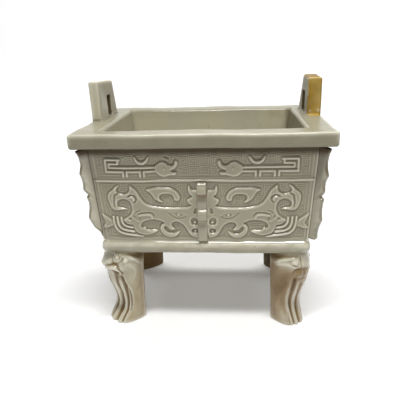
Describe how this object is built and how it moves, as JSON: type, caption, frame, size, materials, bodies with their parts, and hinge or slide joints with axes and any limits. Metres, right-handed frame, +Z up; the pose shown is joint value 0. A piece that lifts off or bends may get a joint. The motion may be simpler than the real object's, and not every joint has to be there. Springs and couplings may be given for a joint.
{
  "type": "porcelain square ding",
  "caption": "Rectangular porcelain incense vessel on beast legs, with upright slotted handles, corner flanges and a mask in relief on its walls.",
  "frame": {"origin": "on the surface it stands on, in the middle of its footprint, under the middle of the rim", "axes": "+Z up, +X along the long walls to the handle with the gold lacquer, -Y towards the front"},
  "size_m": [0.175, 0.131, 0.1777],
  "materials": {
    "glaze": "warm grey ivory glaze, glossy, with gold lacquer on the front of one handle"
  },
  "bodies": {
    "root": {"ding": "glaze"}
  },
  "joints": []
}
